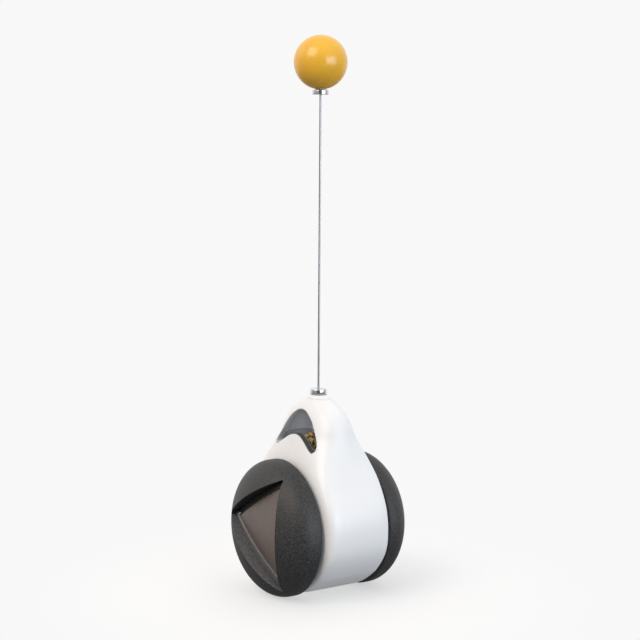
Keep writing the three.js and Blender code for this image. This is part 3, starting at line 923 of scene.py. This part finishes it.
def cross_recess(name, width, length, low, high):
    """A plus-shaped cutter that is narrower at its tip, as a cross driver is."""
    half, arm = width / 2, length / 2
    ring = [(arm, -half), (arm, half), (half, half), (half, arm), (-half, arm), (-half, half)]
    ring += [(-x, -y) for x, y in ring]
    tool = prism(name, ring, low, high)
    for point in tool.data.vertices:
        if point.co.z < (low + high) / 2 * MM:
            point.co.x, point.co.y = point.co.x * 0.45, point.co.y * 0.45
    return tool


ridge = ((THREAD_CORE, 0), (THREAD_CREST, PITCH / 2))
threads = [(r, THREAD_START + PITCH * k + dz) for k in range(TURNS) for r, dz in ridge]
screw_profile = [(0.3, -19.7), (0.7, -19.0)] + threads + [(1.1, -9.2), (1.1, -0.3), (1.3, 0), (2.3, 0)]
screw_profile += [(2.5, 0.25), (2.5, 1.3), (2.35, 1.75), (1.9, 2.0), (0.9, 2.1), (0.02, 2.12)]
screw = turned("body_screw", screw_profile, 40)
cut(screw, cross_recess("driver_slot", 0.62, 3.0, 0.7, 2.6))
tidy_mesh(screw, 40)
screw.matrix_world = Matrix.Rotation(-math.pi / 2, 4, "X")
apply_place(screw)
screws = []
for name, (x, z) in SCREWS.items():
    one = copy_of(screw, "cross_head_screw_" + name)
    one.location = Vector((x, HEAD_SEAT, z + AXLE)) * MM
    apply_place(one)
    screws.append(one)
bpy.data.objects.remove(screw)
print("screws:", len(screws), "with", len(screws[0].data.polygons), "faces each")

# %% [markdown]
# ## What each piece stands for
# Each new piece rides on a body of the frame, takes a slot, and replaces its CAD node. The wire's two lengths
# ride on no body: their place is baked into their meshes and the CAD wire is hidden, and the hinges listed
# for them are not used.

# %% Ride, slot and replace
PIECES = [
    (body_front, "housing", "body_white", "front_shell"),
    (body_rear, "housing", "body_white", "rear_shell"),
    (chamber_hood, "housing", "chamber_grey", "chamber_hood"),
    (chamber_tray, "housing", "chamber_grey", "chamber_tray"),
    (catnip, "catnip", "catnip", "catnip_ball"),
]
WHEEL_ROWS = [
    ("wheel_grey", "cover"), ("insert_grey", "insert"), ("wheel_grey", "insert"), ("wheel_grey", "insert"),
    ("insert_grey", "insert"), ("wheel_inner", "disc"),
]
for wheel, parts in (("left_wheel", left_parts), ("right_wheel", right_parts)):
    PIECES += [(piece, wheel, slot, wheel + "_" + node) for piece, (slot, node) in zip(parts, WHEEL_ROWS)]
PIECES += [
    (lower_collar, "housing", "chrome", "lower_collar"),
    (upper_collar, "teaser", "chrome", "upper_collar"),
    (ball, "ball_body", "ball_yellow", "ball"),
]
PIECES += [(one, "housing", "steel", "body_screw_" + name) for one, name in zip(screws, SCREWS)]
PIECES += [(rim, "housing", "chamber_grey", "chamber_hood") for rim in hood_rims]
PIECES += [(rim, "housing", "chamber_grey", "chamber_tray") for rim in tray_rims]
for piece, carrier, slot, node in PIECES:
    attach(piece, carrier)
    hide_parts(node)
hinges = [
    (wire_foot, "housing", "rod", 107.6, FORE_END + AXLE),
    (wire_tip, "rod", "teaser", FORE_END + AXLE, SIDE_END + AXLE),
]
for length, below, above, low, high in hinges:
    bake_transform(length)
    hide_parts("wire")
print(len(PIECES) + len(hinges), "pieces placed on the frame's bodies")

# %% [markdown]
# ## Finishes
# Nearly all of the toy is moulded plastic, and one function makes each of its finishes from the same three
# things. Two near colours lie in soft clouds, as pigment does in a moulding. The roughness wanders a little,
# as handling leaves it. And a grain of a given size and depth is pressed in by the mould. Sizes are in mm.

# %% Moulded plastics
def pattern(place, size, **more):
    """The inputs of a texture node whose pattern repeats about once in so many millimetres."""
    return {"Vector": place, "Scale": 1 / (size * MM), **more}


def mapped(value, low, high, start, end):
    """The inputs of a Map Range node that turns low and high into start and end."""
    return {"Value": value, "From Min": low, "From Max": high, "To Min": start, "To Max": end}


def coat(tree, shader, share, tones, roughness, height, depth):
    """Gives a shader two tones mixed by a share, a roughness, and a relief of a depth in millimetres."""
    pigment = add_node(
        tree, "ShaderNodeMix", {"data_type": "RGBA"}, {0: share, 6: linear(tones[0]), 7: linear(tones[1])}
    )
    relief = add_node(tree, "ShaderNodeBump", None, {"Height": height, "Distance": depth * MM})
    tree.links.new(pigment.outputs[2], shader.inputs["Base Color"])
    tree.links.new(roughness, shader.inputs["Roughness"])
    tree.links.new(relief.outputs[0], shader.inputs["Normal"])


def moulded_finish(name, pale, deep, cloud, gloss, grain, depth, ior=1.54):
    """A moulded plastic with clouds, a range of roughness, and a grain."""
    material, tree, shader, place = start_finish(name)
    clouds = add_node(tree, "ShaderNodeTexNoise", None, pattern(place, cloud, Detail=3.0))
    handling = add_node(tree, "ShaderNodeTexNoise", None, pattern(place, cloud / 3, Detail=4.0))
    sheen = add_node(tree, "ShaderNodeMapRange", None, mapped(handling.outputs[0], 0.3, 0.7, *gloss))
    pits = add_node(tree, "ShaderNodeTexNoise", None, pattern(place, grain, Detail=2.0))
    coat(tree, shader, clouds.outputs[0], (pale, deep), sheen.outputs[0], pits.outputs[0], depth)
    shader.inputs["IOR"].default_value = ior
    return material


# White ABS from a polished mould, a little worn: broad soft reflections with faint orange peel.
white_abs = moulded_finish("polished_white_abs", "#f6f6f6", "#f0f1f2", 40, (0.3, 0.37), 2.4, 0.006)
# Satin grey ABS from a sanded mould: an even grey that goes dark in the depth of the chamber.
grey_abs = moulded_finish("satin_grey_abs", "#e4e5e8", "#dbdde0", 12, (0.38, 0.48), 0.5, 0.01)
# Painted shade: the tray takes a deeper grey than the hood, and the rims round it a deeper grey still.
tray_abs_painted_shade = moulded_finish("satin_grey_tray_abs_painted_shade", "#c6c8cc", "#bcbec2", 12, (0.42, 0.52), 0.5, 0.01)
rim_abs_painted_shade = moulded_finish("satin_rim_abs_painted_shade", "#484a4d", "#424447", 12, (0.42, 0.52), 0.5, 0.01)
# Plain dark ABS, straight from the tool, on the wheels' backs.
dark_abs = moulded_finish("plain_dark_abs", "#313134", "#2a2a2d", 14, (0.4, 0.5), 1.2, 0.01)
# Smooth satin ABS with a brown cast: the plate shows a soft broad sheen beside the grained dome.
plate_abs = moulded_finish("smooth_brown_grey_abs", "#5d4e46", "#54453e", 16, (0.26, 0.34), 1.8, 0.006)
# Natural nylon: a milky off-white that is never quite glossy.
nylon = moulded_finish("natural_nylon", "#e9e6da", "#ddd9cb", 6, (0.4, 0.5), 0.8, 0.008, 1.53)
# Golden polystyrene: deep colour under a soft, broad shine.
golden_ps = moulded_finish(
    "glossy_golden_polystyrene", "#fbc23c", "#f6b62c", 22, (0.22, 0.28), 3.0, 0.004, 1.59
)
print("moulded finishes ready, from", white_abs.name, "to", golden_ps.name)

# %% [markdown]
# The wheel covers are spark-textured: sparks wear tiny craters into the steel mould, and the plastic comes
# out with a fine, dull, pebbled grain of about 0.3 mm. That is under a pixel here, so it is drawn at about
# 0.7 mm. Craters come from a cell pattern and their unevenness from noise.

# %% Spark-textured plastic
def grained_finish(name, pale, deep, grain, depth):
    """Dark plastic with a pebbled, spark-eroded grain."""
    material, tree, shader, place = start_finish(name)
    cells = add_node(tree, "ShaderNodeTexVoronoi", {"feature": "SMOOTH_F1"}, pattern(place, grain))
    dust = add_node(tree, "ShaderNodeTexNoise", None, pattern(place, grain * 1.3, Detail=3.0))
    tone = add_node(tree, "ShaderNodeMapRange", None, mapped(dust.outputs[0], 0.35, 0.65, 0.0, 1.0))
    height = add_node(
        tree, "ShaderNodeMath", {"operation": "SUBTRACT"}, {0: dust.outputs[0], 1: cells.outputs["Distance"]}
    )
    dull = add_node(tree, "ShaderNodeMapRange", None, mapped(dust.outputs[0], 0.3, 0.7, 0.46, 0.62))
    coat(tree, shader, tone.outputs[0], (deep, pale), dull.outputs[0], height.outputs[0], depth)
    shader.inputs["IOR"].default_value = 1.54
    return material


# Spark-textured dark grey ABS: a dull, mottled surface that spreads every highlight.
grained_abs = grained_finish("spark_textured_dark_abs", "#3d3c3c", "#1b1b1d", 0.7, 0.12)
# The bead beside the plate: smooth pale grey, a painted highlight along the dark wheel.
bead_abs_painted_highlight = moulded_finish("smooth_bead_abs_painted_highlight", "#98999a", "#8e8f91", 16, (0.22, 0.3), 1.8, 0.004)
# The band beside the plate and the wall behind it: the same texture in a paler grey, which is painted light.
band_abs_painted_light = grained_finish("spark_textured_abs_painted_light", "#727273", "#58585a", 0.7, 0.1)
print("grained finishes:", grained_abs.name, band_abs_painted_light.name)

# %% [markdown]
# Metals keep the shader's default IOR and differ in colour, roughness and the marks of their making. Drawing
# leaves long lines, turning leaves fine rings, and casting leaves pits. A noise that is stretched by a
# Mapping node gives the first two.

# %% Metals
def metal_finish(name, colour, dull, mark, stretch, depth, metallic=1.0):
    """A metal with marks of a size in millimetres, stretched by three factors."""
    material, tree, shader, place = start_finish(name)
    laid = add_node(tree, "ShaderNodeMapping", {"vector_type": "POINT"}, {"Vector": place, "Scale": stretch})
    marks = add_node(tree, "ShaderNodeTexNoise", None, pattern(laid.outputs[0], mark, Detail=4.0))
    shine = add_node(tree, "ShaderNodeMapRange", None, mapped(marks.outputs[0], 0.3, 0.7, *dull))
    relief = add_node(tree, "ShaderNodeBump", None, {"Height": marks.outputs[0], "Distance": depth * MM})
    tree.links.new(shine.outputs[0], shader.inputs["Roughness"])
    tree.links.new(relief.outputs[0], shader.inputs["Normal"])
    shader.inputs["Base Color"].default_value = linear(colour)
    shader.inputs["Metallic"].default_value = metallic
    return material


# Chrome-plated brass, polished: a bright mirror with dark edges.
chrome = metal_finish("polished_chrome_plate", "#dcdde0", (0.05, 0.09), 0.8, (1, 1, 4), 0.001)
# Drawn spring steel: grey, with a lengthwise shine.
spring_steel = metal_finish("drawn_spring_steel", "#a7a9ac", (0.26, 0.34), 0.6, (1, 1, 0.04), 0.002)
# Zinc-plated screws: bluish and softly bright.
zinc = metal_finish("zinc_plated_steel", "#bfc3c8", (0.25, 0.38), 0.5, (1, 1, 1), 0.004)
# Turned mild steel for the axle and its rings: fine rings about the axle.
turned_steel = metal_finish("turned_mild_steel", "#a9abae", (0.28, 0.4), 0.3, (3, 0.3, 0.3), 0.004)
# Grey cast iron, as cast: dark, rough and pitted.
cast_iron = metal_finish("grey_cast_iron", "#5a5c5f", (0.6, 0.8), 1.6, (1, 1, 1), 0.12, 0.85)
print("metals ready, from", chrome.name, "to", cast_iron.name)

# %% [markdown]
# Catnip is a dried herb. Its crumbs run from straw yellow to dark brown, and a pressed ball shows them all
# at once, without any shine. A cell pattern gives each crumb of about 0.5 mm its own tone.

# %% Pressed catnip
herb, tree, shader, place = start_finish("pressed_catnip_herb")
warp = add_node(tree, "ShaderNodeTexNoise", None, pattern(place, 1.5, Detail=4.0))
crumbs = add_node(tree, "ShaderNodeTexVoronoi", None, pattern(place, 0.5))
mixed = {0: crumbs.outputs["Distance"], 1: 0.3, 2: warp.outputs[0]}
tone = add_node(tree, "ShaderNodeMath", {"operation": "MULTIPLY_ADD"}, mixed)
ramp = add_node(tree, "ShaderNodeValToRGB", None, {"Fac": tone.outputs[0]})
for stop, colour in ((0.4, "#140e06"), (0.5, "#3f2e15"), (0.6, "#7d6338"), (0.78, "#c9b78c")):
    ramp.color_ramp.elements.new(stop).color = linear(colour)
for spare in (len(ramp.color_ramp.elements) - 1, 0):
    ramp.color_ramp.elements.remove(ramp.color_ramp.elements[spare])
relief = add_node(tree, "ShaderNodeBump", None, {"Height": tone.outputs[0], "Distance": 0.12 * MM})
tree.links.new(ramp.outputs["Color"], shader.inputs["Base Color"])
tree.links.new(relief.outputs[0], shader.inputs["Normal"])
shader.inputs["Roughness"].default_value = 0.92
shader.inputs["Specular IOR Level"].default_value = 0.2
print("catnip tones:", len(ramp.color_ramp.elements))

# %% Give each piece its finish
# How far from the axle the painted light on the recess wall reaches, in millimetres.
PAINTED_LIGHT_WITHIN = 34.6
FINISHES = {
    "body_white": white_abs, "chamber_grey": grey_abs, "catnip": herb, "wheel_grey": grained_abs,
    "insert_grey": plate_abs, "wheel_inner": dark_abs, "chrome": chrome, "ball_yellow": golden_ps,
    "steel": zinc,
}
for piece, _, slot, _ in PIECES:
    piece.data.materials.clear()
    piece.data.materials.append(FINISHES[slot])
# The tray's deeper grey is painted shade in the lower part of the chamber.
chamber_tray.data.materials[0] = tray_abs_painted_shade
for parts, side in ((left_parts, -1), (right_parts, 1)):
    dome_part, _, _, band_part, bead_part, _ = parts
    # The band's paler grey is painted light, and the bead's pale grey a painted highlight.
    band_part.data.materials[0] = band_abs_painted_light
    # The bead's pale grey is a painted highlight.
    bead_part.data.materials[0] = bead_abs_painted_highlight
    # Recess wall faces that face up on the left wheel, and the same faces on the right, get the paler grey:
    # painted light.
    dome_part.data.materials.append(band_abs_painted_light)
    for face in dome_part.data.polygons:
        spot = face.center / MM - Vector((0, 0, AXLE))
        painted_light_wall = abs(face.normal.x) < 0.35 and -side * face.normal.z > 0.2
        if painted_light_wall and spot.yz.length < PAINTED_LIGHT_WITHIN:
            face.material_index = 1
    paler = sum(face.material_index for face in dome_part.data.polygons)
    print(dome_part.name, "paler wall faces:", paler)
# The tray's rims take a dark grey: painted shade at the bottom of the windows.
for rim in tray_rims:
    rim.data.materials[0] = rim_abs_painted_shade
for length in (wire_foot, wire_tip):
    length.data.materials.append(spring_steel)
INSIDE = {
    "axle": turned_steel, "left_washer": turned_steel, "right_washer": turned_steel,
    "left_axle_cap": turned_steel, "right_axle_cap": turned_steel, "wire_socket": turned_steel,
    "left_bushing": nylon, "right_bushing": nylon, "ball_socket": nylon, "counterweight": cast_iron,
}
for node, finish in INSIDE.items():
    for material_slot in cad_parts[node].material_slots:
        material_slot.material = finish
print("finished", len(PIECES) + len(hinges), "pieces and", len(INSIDE), "CAD nodes")

# %% [markdown]
# ## Floor and light
# The toy stands in a plain white studio. The floor takes shadows near the toy and fades into the bright
# surroundings further off, so that no horizon shows. The world is a white cove: it grows brighter with
# height, is brightest behind the toy, and dark round the lens. A cool key light stands in front, a little to
# the right, a warmer one at the upper left, and a weak warm one at the rear left.

# %% Floor
SURROUND = 0.94
FADE = (0.05, 0.16)
SMOOTH = {"interpolation_type": "SMOOTHSTEP"}
floor = add_primitive(bpy.ops.mesh.primitive_plane_add, "studio_floor", size=16, location=(0, 0, 0))
paper, tree, shader, place = start_finish("matt_white_paper")
shader.inputs["Base Color"].default_value = (0.45, 0.45, 0.453, 1)
shader.inputs["Emission Color"].default_value = (1, 1, 1, 1)
shader.inputs["Emission Strength"].default_value = 0.515
shader.inputs["Roughness"].default_value = 0.9
shader.inputs["Specular IOR Level"].default_value = 0.1
away = add_node(tree, "ShaderNodeVectorMath", {"operation": "LENGTH"}, {0: place})
fade = add_node(tree, "ShaderNodeMapRange", SMOOTH, mapped(away.outputs["Value"], *FADE, 0.0, 1.0))
bright = add_node(tree, "ShaderNodeEmission", None, {"Color": (SURROUND, SURROUND, SURROUND, 1)})
both = add_node(
    tree, "ShaderNodeMixShader", None, {0: fade.outputs[0], 1: shader.outputs[0], 2: bright.outputs[0]}
)
tree.links.new(both.outputs[0], tree.nodes["Material Output"].inputs["Surface"])
floor.data.materials.append(paper)
floor.visible_diffuse = False
floor.visible_glossy = False
print("floor laid, fading over", FADE, "metres")

# %% Lights and world
def soft_light(name, place, size, watts, colour):
    """A rectangular area light that faces the toy."""
    data = bpy.data.lights.new(name, "AREA")
    data.shape = "RECTANGLE"
    data.size, data.size_y = size
    data.energy = watts
    data.color = linear(colour)[:3]
    light = bpy.data.objects.new(name, data)
    light.location = place
    light.rotation_euler = (Vector((0, 0, 0.12)) - Vector(place)).to_track_quat("-Z", "Y").to_euler()
    bpy.context.scene.collection.objects.link(light)


soft_light("key_light", (0.5, -2.7, 0.45), (2.2, 1.4), 42, "#e8f3ff")
soft_light("side_light", (-2.0, -0.4, 1.9), (1.6, 1.6), 32, "#fff0e2")
soft_light("rim_light", (-1.7, 1.7, 1.5), (1.6, 1.2), 4, "#fff0e2")
DARK_SIDE = (-0.54, -0.82, 0.15)
world = bpy.data.worlds.new("white_cove")
world.use_nodes = True
bpy.context.scene.world = world
tree = world.node_tree
aim = add_node(tree, "ShaderNodeTexCoord").outputs["Generated"]
rise = add_node(tree, "ShaderNodeSeparateXYZ", None, {"Vector": aim}).outputs["Z"]
glow = add_node(tree, "ShaderNodeMapRange", SMOOTH, mapped(rise, -0.6, 0.7, 0.22, 0.7))
towards_lens = add_node(tree, "ShaderNodeVectorMath", {"operation": "DOT_PRODUCT"}, {0: aim, 1: DARK_SIDE})
facing = towards_lens.outputs["Value"]
dimmed = add_node(tree, "ShaderNodeMapRange", SMOOTH, mapped(facing, 0.8, 0.97, 1.0, 0.25))
glow = add_node(tree, "ShaderNodeMath", {"operation": "MULTIPLY"}, {0: glow.outputs[0], 1: dimmed.outputs[0]})
behind = add_node(tree, "ShaderNodeMapRange", SMOOTH, mapped(facing, -0.6, 0.1, 1.0, 0.0))
above_floor = add_node(tree, "ShaderNodeMapRange", SMOOTH, mapped(rise, -0.45, -0.1, 0.0, 1.0))
backdrop = add_node(
    tree, "ShaderNodeMath", {"operation": "MULTIPLY"}, {0: behind.outputs[0], 1: above_floor.outputs[0]}
)
around = add_node(
    tree, "ShaderNodeMix", {"data_type": "FLOAT"}, {0: backdrop.outputs[0], 2: glow.outputs[0], 3: SURROUND}
)
seen = add_node(tree, "ShaderNodeLightPath").outputs["Is Camera Ray"]
strength = add_node(
    tree, "ShaderNodeMix", {"data_type": "FLOAT"}, {0: seen, 2: around.outputs[0], 3: SURROUND}
)
tree.links.new(strength.outputs[0], tree.nodes["Background"].inputs["Strength"])
tree.nodes["Background"].inputs["Color"].default_value = (1, 1, 1, 1)
bpy.context.scene.view_settings.view_transform = "Standard"
bpy.context.scene.view_settings.look = "None"
print("lights set")
